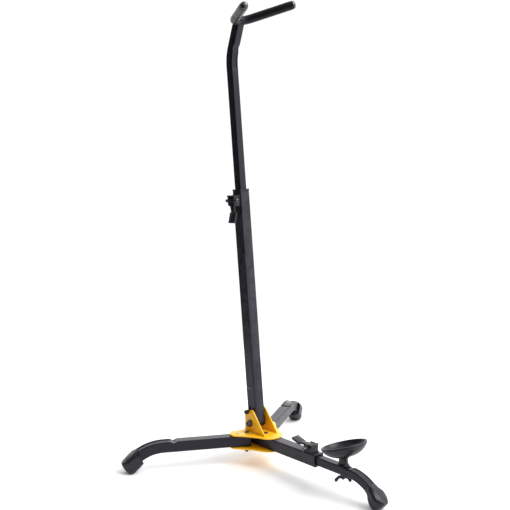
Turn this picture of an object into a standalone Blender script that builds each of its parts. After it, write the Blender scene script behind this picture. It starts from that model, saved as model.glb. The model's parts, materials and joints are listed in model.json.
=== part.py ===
"""Tripod floor stand for a low wind instrument: folding legs, telescoping mast, yoke and cup."""

import math

import bmesh
import bpy
from mathutils import Matrix, Vector

# Driving dimensions, in metres.
GAP = 0.0003                    # air between touching pieces
WALL = 0.0015                   # wall of every square tube
OUTER_TUBE = 0.028              # mast and front leg, outer section
INNER_TUBE = 0.020              # the sections that slide inside them
SIDE_TUBE = 0.0254              # folding side legs
CORNER = 0.0025                 # corner radius of the tubes

LEG_AXIS_HEIGHT = 0.0575        # centre line of all three legs above the floor
SIDE_ANGLE = math.radians(120)  # side legs, either side of the front leg
FRAME_SHIFT = -0.1062           # hub axis, so that the frame origin is the footprint's middle

PLATE = 0.0025                  # hub plates and mast ears
PLATE_OFFSET = OUTER_TUBE / 2 + GAP
PLATE_TOP = LEG_AXIS_HEIGHT + PLATE_OFFSET + PLATE
PLATE_BOTTOM = LEG_AXIS_HEIGHT - PLATE_OFFSET - PLATE
FRONT_LOBE_X = 0.0265
FRONT_LOBE_R = 0.031
SIDE_LOBE_REACH = 0.057
SIDE_LOBE_R = 0.018
SIDE_PIVOT_REACH = 0.0345

MAST_LEAN = math.radians(5.7)   # backwards from upright
MAST_PIVOT = Vector((-0.0145, 0.0, 0.0955))
MAST_SPACER = 0.004             # between the mast and each ear
MAST_END = 0.545                # top of the outer tube, along the mast from its pivot
INNER_START = 0.365             # bottom of the sliding tube
INNER_BEND = 0.828              # where the sliding tube starts to bend forward
INNER_BEND_ANGLE = math.radians(24)
INNER_BEND_RADIUS = 0.100
INNER_LAST = 0.0574             # straight stretch after the bend
LOCK_PIN = Vector((-0.006, 0.0, 0.027))
LOCK_PIN_R = 0.0025
LOCK_LIFT = 0.009
STOP_SCREW = Vector((-0.003, 0.0, 0.083))
EAR_REAR = -0.033
EAR_FRONT = 0.034
EAR_TABS = (-0.023, 0.019)      # middles of the two tabs under each ear
EAR_TAB = 0.010
EAR_SLOT = 0.0124

FRONT_TUBE_START = -0.034
FRONT_TUBE_END = 0.1848
FRONT_INNER_START = 0.084
FRONT_BEND = 0.283              # where the front leg starts to curve down
SIDE_BEND = 0.232
LEG_BEND_RADIUS = 0.100
LEG_BEND_ANGLE = math.radians(34)
LEG_TAIL = 0.020                # straight end of a leg inside its foot
FRONT_BOLTS = (-0.010, 0.017)

CLAMP_BACK = 0.021              # clamp pivot, back from the end of its tube
CLAMP_WIDTH = 0.022
CLAMP_LENGTH = 0.024
CLAMP_LEDGE = 0.002             # how far the base reaches past the front wall
CLAMP_HEIGHT = 0.0185
CLAMP_PIVOT_HEIGHT = 0.010
CHEEK = 0.002
CAM_R = 0.0088                  # cam radius on its pad with the lever shut
CAM_DROP = 0.0010               # how much smaller it is a quarter turn further
PAD_TOP = 0.0009

YOKE_ROD_R = 0.004
YOKE_SLEEVE_R = 0.010
YOKE_SEAT = 0.0048              # sleeve centre above the end of the tube, whose end is saddled
YOKE_ARC_R = 0.029
YOKE_SPREAD = math.radians(29.1)
YOKE_PRONG = 0.1016
YOKE_ROLL = math.radians(3.0)   # the left prong sits a little higher
YOKE_RISE = math.radians(11.5)   # against the mast's own forward direction

LEG_BOLT_R = 0.004
FRONT_BOLT_R = 0.003
PIVOT_BOLT_R = 0.004
CLAMP_BOLT_R = 0.0025
BUTTON_R = 0.003
BUTTON_FLANGE_R = 0.0042
PAD_SIZE = 0.009

CUP_AXIS_X = 0.2625
CUP_RIM_CENTRE = Vector((0.2630, 0.0, 0.1160))
CUP_TILT = math.radians(17.3)
CUP_R = 0.0515
CUP_DEPTH = 0.0285
CUP_WALL = 0.003

EAR_INSIDE = OUTER_TUBE / 2 + GAP + MAST_SPACER


# scene helpers

def clear_scene():
    for item in list(bpy.data.objects):
        bpy.data.objects.remove(item, do_unlink=True)


def material(name, colour, roughness, metallic=0.0):
    made = bpy.data.materials.new(name)
    made.use_nodes = True
    shader = made.node_tree.nodes["Principled BSDF"]
    shader.inputs["Base Color"].default_value = (*colour, 1.0)
    shader.inputs["Roughness"].default_value = roughness
    shader.inputs["Metallic"].default_value = metallic
    return made


PAINTS = {
    "tube": ((0.030, 0.030, 0.036), 0.45, 0.0),
    "hub": ((0.86, 0.50, 0.03), 0.38, 0.0),
    "plastic": ((0.035, 0.035, 0.040), 0.55, 0.0),
    "rubber": ((0.040, 0.040, 0.045), 0.75, 0.0),
    "foam": ((0.028, 0.028, 0.034), 0.85, 0.0),
    "black_steel": ((0.045, 0.045, 0.050), 0.35, 1.0),
    "bright_steel": ((0.72, 0.72, 0.74), 0.25, 1.0),
}


def empty(name, location=(0, 0, 0), rotation=(0, 0, 0), parent=None):
    """An axis or frame that pieces hang from; it is not a piece itself."""
    made = bpy.data.objects.new(name, None)
    bpy.context.collection.objects.link(made)
    made.location = location
    made.rotation_euler = rotation
    made.parent = parent
    return made


def piece(name, mesh, paint, parent, location=(0, 0, 0), rotation=(0, 0, 0), smooth=False):
    """A named solid from a bmesh, with its own material."""
    bmesh.ops.recalc_face_normals(mesh, faces=mesh.faces)
    data = bpy.data.meshes.new(name)
    mesh.to_mesh(data)
    mesh.free()
    made = bpy.data.objects.new(name, data)
    bpy.context.collection.objects.link(made)
    made.location = location
    made.rotation_euler = rotation
    made.parent = parent
    data.materials.append(material(name, *PAINTS[paint]))
    if smooth:
        data.shade_smooth()
        data.set_sharp_from_angle(angle=math.radians(35))
    return made


def combine(body, tool, operation):
    """The exact Boolean of two bmeshes, both used up."""
    pair = []
    for source in (body, tool):
        bmesh.ops.recalc_face_normals(source, faces=source.faces)
        data = bpy.data.meshes.new("work")
        source.to_mesh(data)
        source.free()
        shape = bpy.data.objects.new("work", data)
        bpy.context.collection.objects.link(shape)
        pair.append(shape)
    modifier = pair[0].modifiers.new("cut", "BOOLEAN")
    modifier.operation = operation
    modifier.solver = "EXACT"
    modifier.object = pair[1]
    bpy.context.view_layer.update()
    evaluated = pair[0].evaluated_get(bpy.context.evaluated_depsgraph_get())
    result = bmesh.new()
    result.from_mesh(evaluated.to_mesh())
    evaluated.to_mesh_clear()
    for shape in pair:
        bpy.data.objects.remove(shape, do_unlink=True)
    return result


def cut(body, *tools):
    for tool in tools:
        body = combine(body, tool, "DIFFERENCE")
    return body


def join(body, *others):
    for other in others:
        body = combine(body, other, "UNION")
    return body


def moved(mesh, location=(0, 0, 0), rotation=None):
    matrix = Matrix.Translation(Vector(location))
    if rotation is not None:
        matrix = matrix @ rotation
    bmesh.ops.transform(mesh, matrix=matrix, verts=mesh.verts)
    return mesh


# shape helpers

def block(size, centre=(0, 0, 0)):
    mesh = bmesh.new()
    bmesh.ops.create_cube(mesh, size=1.0)
    bmesh.ops.scale(mesh, vec=Vector(size), verts=mesh.verts)
    bmesh.ops.translate(mesh, vec=Vector(centre), verts=mesh.verts)
    return mesh


def rod(radius, start, end, sides=20):
    """A cylinder between two points."""
    start = Vector(start)
    end = Vector(end)
    mesh = bmesh.new()
    bmesh.ops.create_cone(mesh, cap_ends=True, segments=sides, radius1=radius, radius2=radius,
                          depth=(end - start).length)
    turn = (end - start).to_track_quat("Z", "Y").to_matrix().to_4x4()
    return moved(mesh, (start + end) / 2, turn)


def turned(profile, sides=24):
    """A solid of revolution about Z from (radius, height) points, closed at the axis or as a ring."""
    mesh = bmesh.new()
    rings = []
    for radius, height in profile:
        if radius < 1e-6:
            rings.append([mesh.verts.new((0, 0, height))])
        else:
            angles = [math.tau * step / sides for step in range(sides)]
            rings.append([mesh.verts.new((radius * math.cos(a), radius * math.sin(a), height))
                          for a in angles])
    closed = profile[0][0] > 1e-6
    spans = len(rings) if closed else len(rings) - 1
    for index in range(spans):
        lower = rings[index]
        upper = rings[(index + 1) % len(rings)]
        for step in range(sides):
            after = (step + 1) % sides
            corners = [lower[step % len(lower)], lower[after % len(lower)],
                       upper[after % len(upper)], upper[step % len(upper)]]
            unique = list(dict.fromkeys(corners))
            mesh.faces.new(unique)
    return mesh


def ring(outer, inner, low, high, sides=18):
    return turned([(inner, low), (outer, low), (outer, high), (inner, high)], sides)


def slab(outline, low, high):
    """An outline of (x, y) points, extruded from one height to another."""
    mesh = bmesh.new()
    base = [mesh.verts.new((x, y, low)) for x, y in outline]
    face = mesh.faces.new(base)
    extruded = bmesh.ops.extrude_face_region(mesh, geom=[face])
    top = [item for item in extruded["geom"] if isinstance(item, bmesh.types.BMVert)]
    bmesh.ops.translate(mesh, vec=(0, 0, high - low), verts=top)
    return mesh


def arc(centre, radius, start, end, steps):
    """Points along an arc, angles in radians."""
    points = []
    for step in range(steps + 1):
        angle = start + (end - start) * step / steps
        points.append((centre[0] + radius * math.cos(angle), centre[1] + radius * math.sin(angle)))
    return points


def rounded_square(size, radius, steps=2):
    half = size / 2 - radius
    points = []
    for quarter, (sx, sy) in enumerate(((1, 1), (-1, 1), (-1, -1), (1, -1))):
        begin = quarter * math.pi / 2
        points += arc((sx * half, sy * half), radius, begin, begin + math.pi / 2, steps)
    return points


def lofted(rings, closed_loop=False):
    """A closed skin over rings of equally many points; the end rings are filled."""
    mesh = bmesh.new()
    layers = [[mesh.verts.new(point) for point in points] for points in rings]
    count = len(layers[0])
    for index in range(len(layers) - (0 if closed_loop else 1)):
        lower = layers[index]
        upper = layers[(index + 1) % len(layers)]
        for step in range(count):
            after = (step + 1) % count
            mesh.faces.new((lower[step], lower[after], upper[after], upper[step]))
    if not closed_loop:
        mesh.faces.new(layers[0])
        mesh.faces.new(layers[-1])
    return mesh


def square_tube(stations, size, wall=WALL):
    """A hollow square tube along stations of (centre, across, up) with open ends."""
    outer = rounded_square(size, CORNER)
    inner = rounded_square(size - 2 * wall, CORNER - wall / 2)
    rings = []
    for outline, order in ((outer, stations), (inner, list(reversed(stations)))):
        for centre, across, up in order:
            rings.append([centre + across * a + up * b for a, b in outline])
    return lofted(rings, closed_loop=True)


def leg_stations(start, bend, steps=7, tail=LEG_TAIL):
    """Stations along +X, then an arc downwards, then a straight tail."""
    across = Vector((0, 1, 0))
    stations = [(Vector((start, 0, 0)), across, Vector((0, 0, 1)))]
    for step in range(steps + 1):
        angle = LEG_BEND_ANGLE * step / steps
        up = Vector((math.sin(angle), 0, math.cos(angle)))
        centre = Vector((bend, 0, -LEG_BEND_RADIUS)) + up * LEG_BEND_RADIUS
        stations.append((centre, across, up))
    forward = Vector((math.cos(LEG_BEND_ANGLE), 0, -math.sin(LEG_BEND_ANGLE)))
    stations.append((stations[-1][0] + forward * tail, across, stations[-1][2]))
    return stations


def hexagon(across_flats, low, high, hole):
    """A hexagonal nut about Z with a round hole."""
    nut = slab(arc((0, 0), across_flats / math.sqrt(3), 0, math.tau * 5 / 6, 5), low, high)
    return cut(nut, rod(hole, (0, 0, low - 0.001), (0, 0, high + 0.001), 20))


def button_head(radius, height, shank, length):
    """A low domed head above the origin with its shank hanging down."""
    dome = [(0.0, height), (radius * 0.55, height * 0.88), (radius * 0.88, height * 0.5),
            (radius, height * 0.1), (radius, 0.0)]
    return turned(dome + [(shank, 0.0), (shank, -length), (0.0, -length)], 18)


# hub

def lobe_outline():
    """Three round lobes joined by hollow curves, as (x, y) points."""
    side = (SIDE_LOBE_REACH * math.cos(SIDE_ANGLE), SIDE_LOBE_REACH * math.sin(SIDE_ANGLE))
    discs = [((FRONT_LOBE_X, 0.0), FRONT_LOBE_R), (side, SIDE_LOBE_R),
             ((side[0], -side[1]), SIDE_LOBE_R)]
    fillets = (0.150, 0.110, 0.150)
    touches = []
    for index in range(3):
        (ax, ay), ra = discs[index]
        (bx, by), rb = discs[(index + 1) % 3]
        fillet = fillets[index]
        span = math.hypot(bx - ax, by - ay)
        along = ((ra + fillet) ** 2 - (rb + fillet) ** 2 + span ** 2) / (2 * span)
        out = math.sqrt((ra + fillet) ** 2 - along ** 2)
        ux, uy = (bx - ax) / span, (by - ay) / span
        middle = (ax + ux * along + uy * out, ay + uy * along - ux * out)
        touches.append((middle, fillet, (ax, ay), (bx, by)))
    points = []
    for index in range(3):
        middle, fillet, first, second = touches[index]
        previous = touches[index - 1][0]
        centre, radius = discs[index]
        begin = math.atan2(previous[1] - centre[1], previous[0] - centre[0])
        finish = math.atan2(middle[1] - centre[1], middle[0] - centre[0])
        while finish < begin:
            finish += math.tau
        points += arc(centre, radius, begin, finish, 12)
        begin = math.atan2(first[1] - middle[1], first[0] - middle[0])
        finish = math.atan2(second[1] - middle[1], second[0] - middle[0])
        while finish > begin:
            finish -= math.tau
        points += arc(middle, fillet, begin, finish, 5)[1:-1]
    return points


def side_point(reach, side):
    """A point on a side leg's centre line; side is +1 for left, -1 for right."""
    return Vector((reach * math.cos(SIDE_ANGLE), side * reach * math.sin(SIDE_ANGLE), 0))


def hub_plate(name, low, holes, parent, slots=()):
    plate = slab(lobe_outline(), low, low + PLATE)
    for place in slots:
        plate = cut(plate, block((EAR_SLOT, PLATE + 2 * GAP, 0.01), (place.x, place.y, low)))
    for place, radius in holes:
        plate = cut(plate, rod(radius, (place.x, place.y, low - 0.002),
                               (place.x, place.y, low + PLATE + 0.002)))
    return piece(name, plate, "hub", parent)


def build_hub(stand):
    bolt_holes = [(side_point(SIDE_PIVOT_REACH, side), LEG_BOLT_R + GAP) for side in (1, -1)]
    bolt_holes += [(Vector((x, 0, 0)), FRONT_BOLT_R + GAP) for x in FRONT_BOLTS]
    button_holes = [(side_point(SIDE_LOBE_REACH, side), BUTTON_R + GAP) for side in (1, -1)]
    slots = [Vector((x, side * (EAR_INSIDE + PLATE / 2), 0)) for x in EAR_TABS for side in (1, -1)]
    hub_plate("hub_top_plate", PLATE_TOP - PLATE, bolt_holes + button_holes, stand, slots)
    hub_plate("hub_bottom_plate", PLATE_BOTTOM, bolt_holes, stand)
    build_ears(stand)
    build_front_bolts(stand)
    for side, word in ((1, "left"), (-1, "right")):
        build_leg_pivot(stand, side, word)


def ear_outline():
    """The side view (x, z) of one ear: arc-shaped shoulder for the lock pin, peak, front slope."""
    pin = pin_in_world()
    pivot = (MAST_PIVOT.x, MAST_PIVOT.z)
    reach = math.hypot(pin.x - pivot[0], pin.z - pivot[1])
    track = reach - LOCK_PIN_R - GAP
    peak_r = 0.0095
    wall = pin.x + LOCK_PIN_R + GAP
    peak = (wall + peak_r, 0.1185)
    base = PLATE_TOP + GAP
    rear_angle = math.pi - math.acos((pivot[0] - EAR_REAR) / track)
    wall_angle = math.acos((wall - pivot[0]) / track)
    points = [(EAR_REAR, base)]
    points += arc(pivot, track, rear_angle, wall_angle, 8)
    corner = (EAR_FRONT, base + 0.0008)
    gap_x, gap_z = corner[0] - peak[0], corner[1] - peak[1]
    tangent = math.atan2(gap_z, gap_x) + math.acos(peak_r / math.hypot(gap_x, gap_z))
    points += arc(peak, peak_r, math.pi, tangent, 8)
    points += [corner, (EAR_FRONT, base)]
    for x in reversed(EAR_TABS):
        half = EAR_TAB / 2
        points += [(x + half, base), (x + half, base - PLATE), (x - half, base - PLATE), (x - half, base)]
    return points


def pin_in_world():
    lean = Matrix.Rotation(-MAST_LEAN, 4, "Y")
    return MAST_PIVOT + lean @ LOCK_PIN


def build_ears(stand):
    """The two ears that carry the mast, tabbed into the top plate, with a spacer inside each."""
    upright = Matrix.Rotation(math.pi / 2, 4, "X")
    for side, word in ((1, "left"), (-1, "right")):
        ear = moved(slab(ear_outline(), -PLATE / 2, PLATE / 2),
                    (0, side * (EAR_INSIDE + PLATE / 2), 0), upright)
        pivot = rod(PIVOT_BOLT_R + GAP, (MAST_PIVOT.x, side * 0.01, MAST_PIVOT.z),
                    (MAST_PIVOT.x, side * 0.03, MAST_PIVOT.z))
        piece("mast_ear_" + word, cut(ear, pivot), "hub", stand)
        spacer = ring(0.009, PIVOT_BOLT_R + GAP, OUTER_TUBE / 2 + GAP, EAR_INSIDE - GAP)
        piece("mast_spacer_" + word, spacer, "plastic", stand,
              MAST_PIVOT, (-side * math.pi / 2, 0, 0), smooth=True)


def build_front_bolts(stand):
    """Two bolts through the plates and the front leg, each with a nut below."""
    head = PLATE_TOP + GAP
    nut_top = PLATE_BOTTOM - GAP
    for x, word in zip(FRONT_BOLTS, ("rear", "front")):
        bolt = button_head(0.0052, 0.0022, FRONT_BOLT_R, head - nut_top + 0.007)
        piece("front_leg_bolt_" + word, bolt, "black_steel", stand, (x, 0, head), smooth=True)
        nut = hexagon(0.010, -0.005, 0, FRONT_BOLT_R + GAP)
        piece("front_leg_nut_" + word, nut, "black_steel", stand, (x, 0, nut_top))


def build_leg_pivot(stand, side, word):
    """The bolt a side leg turns on, its nut and the two slip washers, with the push button."""
    place = side_point(SIDE_PIVOT_REACH, side)
    head = PLATE_TOP + GAP
    nut_top = PLATE_BOTTOM - GAP
    bolt = button_head(0.0054, 0.0022, LEG_BOLT_R, head - nut_top + 0.0125)
    piece(word + "_leg_bolt", bolt, "black_steel", stand, (place.x, place.y, head), smooth=True)
    nut = hexagon(0.013, -0.008, 0, LEG_BOLT_R + GAP)
    piece(word + "_leg_nut", nut, "black_steel", stand, (place.x, place.y, nut_top))
    half = SIDE_TUBE / 2
    thick = PLATE_OFFSET - half - 2 * GAP
    for level, low in (("upper", half + GAP), ("lower", -half - GAP - thick)):
        washer = ring(0.010, LEG_BOLT_R + GAP, low, low + thick)
        piece(word + "_leg_washer_" + level, washer, "plastic", stand,
              (place.x, place.y, LEG_AXIS_HEIGHT), smooth=True)
    seat = side_point(SIDE_LOBE_REACH, side)
    leg_top = LEG_AXIS_HEIGHT + half
    flange = PLATE_TOP - PLATE - GAP
    crown = PLATE_TOP + 0.0024
    button = turned([(0, leg_top + GAP), (BUTTON_FLANGE_R, leg_top + GAP), (BUTTON_FLANGE_R, flange),
                     (BUTTON_R, flange), (BUTTON_R, crown - 0.0013), (BUTTON_R * 0.8, crown - 0.0004),
                     (BUTTON_R * 0.4, crown), (0, crown)], 20)
    piece(word + "_leg_button", button, "bright_steel", stand, (seat.x, seat.y, 0), smooth=True)


# legs and feet

def build_side_leg(stand, side, word):
    pivot = side_point(SIDE_PIVOT_REACH, side)
    axis = empty(word + "_leg_axis", (pivot.x, pivot.y, LEG_AXIS_HEIGHT),
                 (0, 0, side * SIDE_ANGLE), stand)
    inner_end = -0.0095
    leg = square_tube(leg_stations(inner_end, SIDE_BEND - SIDE_PIVOT_REACH), SIDE_TUBE)
    chamfer = 0.005
    diagonal = 0.040
    for turn in (1, -1):
        corner = Vector((inner_end, turn * SIDE_TUBE / 2, 0))
        tool = block((diagonal, diagonal, diagonal))
        tool = moved(tool, corner, Matrix.Rotation(math.pi / 4, 4, "Z"))
        away = Vector((-1, turn, 0)).normalized()
        leg = cut(leg, moved(tool, away * (diagonal / 2 - chamfer / math.sqrt(2))))
    leg = cut(leg, rod(LEG_BOLT_R + GAP, (0, 0, -0.02), (0, 0, 0.02)))
    button = SIDE_LOBE_REACH - SIDE_PIVOT_REACH
    leg = cut(leg, rod(BUTTON_FLANGE_R + GAP, (button, 0, 0), (button, 0, 0.02)))
    piece(word + "_leg", leg, "tube", axis)
    boot = foot(SIDE_BEND - SIDE_PIVOT_REACH, SIDE_TUBE, SIDE_FOOT)
    piece(word + "_foot", boot, "rubber", axis, smooth=True)


# Feet: toe-ward and height of the top edge, the same of the bottom edge, half width;
# measured from the bend's end on the leg's centre line, in millimetres.
SIDE_FOOT = (
    (4.3, 14.0, -9.4, -19.0, 17.5),
    (14.0, 10.5, -3.0, -27.0, 19.5),
    (23.0, 5.5, 5.0, -34.5, 20.5),
    (30.0, 0.0, 13.5, -42.0, 19.5),
    (36.0, -7.0, 22.5, -42.0, 16.5),
    (39.8, -13.0, 32.0, -34.0, 12.0),
    (41.4, -17.0, 38.0, -25.0, 6.0),
)
FRONT_FOOT = (
    (13.3, 5.6, -0.1, -14.6, 12.2),
    (19.8, 2.6, 3.0, -23.0, 16.5),
    (27.0, -1.5, 9.0, -32.0, 20.0),
    (34.0, -7.0, 17.0, -42.0, 20.0),
    (40.0, -12.5, 26.0, -42.0, 17.0),
    (44.5, -17.5, 36.0, -36.0, 12.0),
    (47.0, -21.0, 44.0, -27.0, 6.0),
)


def foot(bend, tube, ribs):
    """A rubber boot over the end of a leg, flat where it stands on the floor."""
    centre = Vector((bend, 0, 0)) + Vector((math.sin(LEG_BEND_ANGLE), 0,
                                            math.cos(LEG_BEND_ANGLE) - 1)) * LEG_BEND_RADIUS
    rings = []
    for top_x, top_z, low_x, low_z, half in ribs:
        top = centre + Vector((top_x, 0, top_z)) * 0.001
        low = centre + Vector((low_x, 0, low_z)) * 0.001
        middle = (top + low) / 2
        up = (top - low) / 2
        points = []
        for step in range(20):
            angle = math.tau * (step + 0.5) / 20
            c, s = math.cos(angle), math.sin(angle)
            width = math.copysign(abs(c) ** 0.75, c) * half * 0.001
            height = math.copysign(abs(s) ** 0.75, s)
            points.append(middle + Vector((0, width, 0)) + up * height)
        rings.append(points)
    boot = lofted(rings)
    floor = -LEG_AXIS_HEIGHT
    boot = cut(boot, block((0.2, 0.2, 0.02), (centre.x, 0, floor - 0.01)))
    forward = Vector((math.cos(LEG_BEND_ANGLE), 0, -math.sin(LEG_BEND_ANGLE)))
    size = tube + 2 * GAP
    length = LEG_TAIL + 0.008 + GAP
    pocket = slab(rounded_square(size, CORNER + GAP), -length, 0)
    frame = Matrix.Rotation(math.pi / 2 + LEG_BEND_ANGLE, 4, "Y")
    end = centre + forward * (LEG_TAIL + GAP)
    return cut(boot, moved(pocket, end, frame))


def build_front_leg(stand):
    axis = empty("front_leg_axis", (0, 0, LEG_AXIS_HEIGHT), (0, 0, 0), stand)
    across, up = Vector((0, 1, 0)), Vector((0, 0, 1))
    ends = [(Vector((x, 0, 0)), across, up) for x in (FRONT_TUBE_START, FRONT_TUBE_END)]
    outer = square_tube(ends, OUTER_TUBE)
    for x in FRONT_BOLTS:
        outer = cut(outer, rod(FRONT_BOLT_R + GAP, (x, 0, -0.02), (x, 0, 0.02)))
    clamp_x = FRONT_TUBE_END - CLAMP_BACK
    window = block((PAD_SIZE + 2 * GAP, PAD_SIZE + 2 * GAP, 0.01), (clamp_x, 0, OUTER_TUBE / 2))
    piece("front_leg_outer", cut(outer, window), "tube", axis)

    bush = moved(tube_bush(), (FRONT_TUBE_END, 0, 0), Matrix.Rotation(math.pi / 2, 4, "Y"))
    piece("front_leg_collar", bush, "plastic", axis)

    slide = empty("front_leg_slide_axis", (0, 0, 0), (0, 0, 0), axis)
    inner = square_tube(leg_stations(FRONT_INNER_START, FRONT_BEND), INNER_TUBE)
    inner = cut(inner, rod(0.003 + GAP, (CUP_AXIS_X, 0, -0.02), (CUP_AXIS_X, 0, 0.02)))
    piece("front_leg_inner", inner, "tube", slide)
    piece("front_foot", foot(FRONT_BEND, INNER_TUBE, FRONT_FOOT), "rubber", slide, smooth=True)
    glide = moved(tube_glide(), (FRONT_INNER_START, 0, 0), Matrix.Rotation(math.pi / 2, 4, "Y"))
    piece("front_leg_glide", glide, "plastic", slide)
    return axis, slide


def tube_bush():
    """The plastic collar in the mouth of an outer tube, about Z, with the mouth at height 0."""
    flange = slab(rounded_square(OUTER_TUBE + 0.001, CORNER), GAP, 0.004)
    sleeve = slab(rounded_square(OUTER_TUBE - 2 * WALL - 2 * GAP, CORNER / 2), -0.013, 0.001)
    hole = slab(rounded_square(INNER_TUBE + 2 * GAP, CORNER), -0.02, 0.01)
    return cut(join(flange, sleeve), hole)


def tube_glide():
    """The plastic glide on the hidden end of a sliding tube, about Z, with the end at height 0."""
    flange = slab(rounded_square(OUTER_TUBE - 2 * WALL - 2 * GAP, CORNER / 2), -0.010, -GAP)
    plug = slab(rounded_square(INNER_TUBE - 2 * WALL - 2 * GAP, CORNER / 2), -0.001, 0.012)
    hole = slab(rounded_square(0.010, CORNER), -0.02, 0.02)
    return cut(join(flange, plug), hole)


# clamps

def clamp_parts(prefix, parent, location, rotation, head_side):
    """A lever clamp on a tube face: X towards the lever's tip, Y across, Z out of the face."""
    base = empty(prefix + "_clamp_frame", location, rotation, parent)
    half = CLAMP_WIDTH / 2
    bracket = block((CLAMP_LENGTH, CLAMP_WIDTH, CHEEK), (0, 0, GAP + CHEEK / 2))
    for side in (1, -1):
        cheek = slab(cheek_outline(), 0, CHEEK)
        upright = Matrix.Rotation(math.pi / 2, 4, "X")
        bracket = join(bracket, moved(cheek, (0, half if side > 0 else CHEEK - half, 0), upright))
    wall = block((CHEEK, CLAMP_WIDTH - CHEEK, CLAMP_HEIGHT - 0.001),
                 ((CHEEK - CLAMP_LENGTH) / 2, 0, (CLAMP_HEIGHT - 0.001) / 2 + GAP))
    ledge = block((CLAMP_LEDGE + CHEEK, CLAMP_WIDTH + 0.001, CHEEK),
                  ((-CLAMP_LENGTH - CLAMP_LEDGE + CHEEK) / 2, 0, GAP + CHEEK / 2))
    rim = block((0.0044, CLAMP_WIDTH + 0.0016, CHEEK),
                (-CLAMP_LENGTH / 2 + 0.0012, 0, CLAMP_HEIGHT - 0.0003))
    bracket = join(bracket, wall, ledge, rim)
    bracket = cut(bracket, block((0.0114, CLAMP_WIDTH - 2 * CHEEK, 0.01), (0, 0, 0)))
    axle = rod(CLAMP_BOLT_R + GAP, (0, -0.02, CLAMP_PIVOT_HEIGHT), (0, 0.02, CLAMP_PIVOT_HEIGHT))
    piece(prefix + "_clamp_bracket", cut(bracket, axle), "plastic", base)

    inner_face = -(OUTER_TUBE - INNER_TUBE) / 2 + GAP
    pad = block((PAD_SIZE, PAD_SIZE, PAD_TOP - inner_face), (0, 0, (PAD_TOP + inner_face) / 2))
    piece(prefix + "_clamp_pad", pad, "plastic", base)

    shaft = button_head(0.0060, 0.0035, CLAMP_BOLT_R, CLAMP_WIDTH + 2 * GAP + 0.0055)
    piece(prefix + "_clamp_pivot", shaft, "black_steel", base,
          (0, head_side * (half + GAP), CLAMP_PIVOT_HEIGHT), (-head_side * math.pi / 2, 0, 0),
          smooth=True)
    bore = CLAMP_BOLT_R + GAP
    sleeve_nut = turned_cap([(bore, 0.0), (0.0062, 0.0), (0.0062, 0.0018), (0.0042, 0.0024),
                             (0.0042, 0.0130), (0.0030, 0.0142), (0.0, 0.0145), (0.0, 0.0105),
                             (bore, 0.0105)])
    piece(prefix + "_clamp_nut", sleeve_nut, "black_steel", base,
          (0, -head_side * (half + GAP), CLAMP_PIVOT_HEIGHT), (head_side * math.pi / 2, 0, 0),
          smooth=True)

    hinge = empty(prefix + "_lever_axis", (0, 0, CLAMP_PIVOT_HEIGHT), (0, 0, 0), base)
    piece(prefix + "_clamp_lever", clamp_lever(), "plastic", hinge, smooth=True)


def cheek_outline():
    """Side view of a clamp cheek with its two outer corners rounded."""
    half = CLAMP_LENGTH / 2
    radius = 0.004
    points = [(-half, GAP), (half, GAP)]
    points += arc((half - radius, CLAMP_HEIGHT - radius), radius, 0, math.pi / 2, 4)
    points += arc((radius - half, CLAMP_HEIGHT - radius), radius, math.pi / 2, math.pi, 4)
    return points


def clamp_lever():
    """The cam between the cheeks with its neck and the kinked paddle, about its pivot."""
    width = CLAMP_WIDTH - 2 * CHEEK - 2 * GAP
    cam = []
    for step in range(32):
        angle = math.tau * step / 32
        turn = (angle + math.pi / 2) % math.tau
        drop = CAM_DROP * min(turn / (math.pi / 2), 1.0) if turn < math.pi else CAM_DROP
        if turn > math.tau * 0.9:
            drop = CAM_DROP * (math.tau - turn) / (math.tau * 0.1)
        radius = CAM_R - drop
        cam.append((radius * math.cos(angle), radius * math.sin(angle)))
    across = Matrix.Rotation(math.pi / 2, 4, "X")
    body = moved(slab(cam, -width / 2, width / 2), (0, 0, 0), across)
    neck_outline = [(-0.004, 0.0005), (0.010, 0.0020), (0.030, 0.0008), (0.032, 0.0056),
                    (0.026, 0.0054), (0.012, 0.0072), (-0.004, 0.0075)]
    neck_width = 0.012
    neck = moved(slab(neck_outline, -neck_width / 2, neck_width / 2), (0, 0, 0), across)
    paddle_outline = [(0.0270, 0.0004), (0.0305, 0.0006), (0.0515, 0.0072), (0.0500, 0.0122),
                      (0.0290, 0.0056), (0.0262, 0.0050)]
    paddle_width = 0.0205
    paddle = moved(slab(paddle_outline, -paddle_width / 2, paddle_width / 2), (0, 0, 0), across)
    lever = join(body, neck, paddle)
    return cut(lever, rod(CLAMP_BOLT_R + GAP, (0, -0.02, 0), (0, 0.02, 0)))


# mast

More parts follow.
